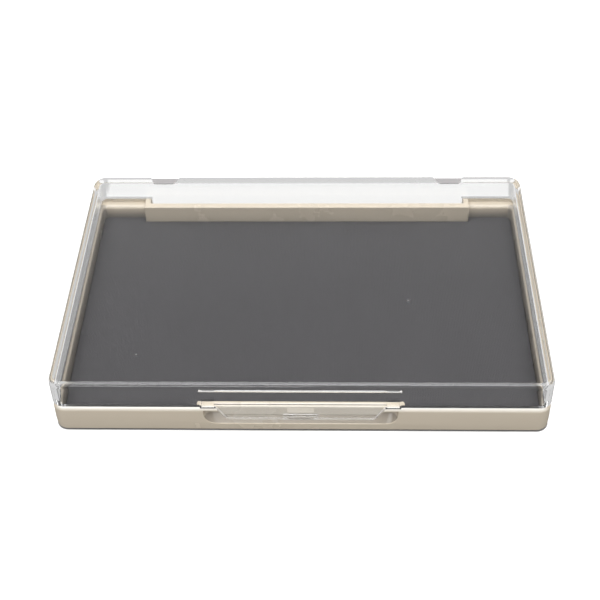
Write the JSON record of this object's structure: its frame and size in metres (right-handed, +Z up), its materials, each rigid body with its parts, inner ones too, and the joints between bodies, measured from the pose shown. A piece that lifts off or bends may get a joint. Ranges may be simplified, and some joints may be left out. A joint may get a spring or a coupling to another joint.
{
  "type": "ink pad",
  "caption": "Flat ink pad in a shallow moulded tray with a clear hinged lid, a front pull tab that snaps over a catch, and a die-cut cloth-faced pad.",
  "frame": {"origin": "centre of the tray's flat underside", "axes": "+X to the right along the long side, +Y to the rear where the hinge is, +Z up through the lid"},
  "size_m": [0.135, 0.0905, 0.018],
  "materials": {
    "tray_plastic": "moulded, satin gloss",
    "clear_plastic": "clear, polished",
    "pin_steel": "drawn wire",
    "film": "double-sided adhesive",
    "board": "matt grey board",
    "felt": "ink-soaked felt",
    "cloth": "fine weave, ink-soaked"
  },
  "bodies": {
    "tray": {"base_tray": "tray_plastic", "hinge_pin_left": "pin_steel", "hinge_pin_right": "pin_steel", "adhesive_film": "film", "backing_board": "board", "ink_felt": "felt", "pad_cloth": "cloth"},
    "lid": {"clear_lid": "clear_plastic"}
  },
  "joints": [
    {"name": "lid_hinge", "type": "hinge", "parent": "tray", "child": "lid", "pos_m": [0, 0.0433, 0.005], "axis": [-1, 0, 0], "range_deg": [0, 105]}
  ]
}
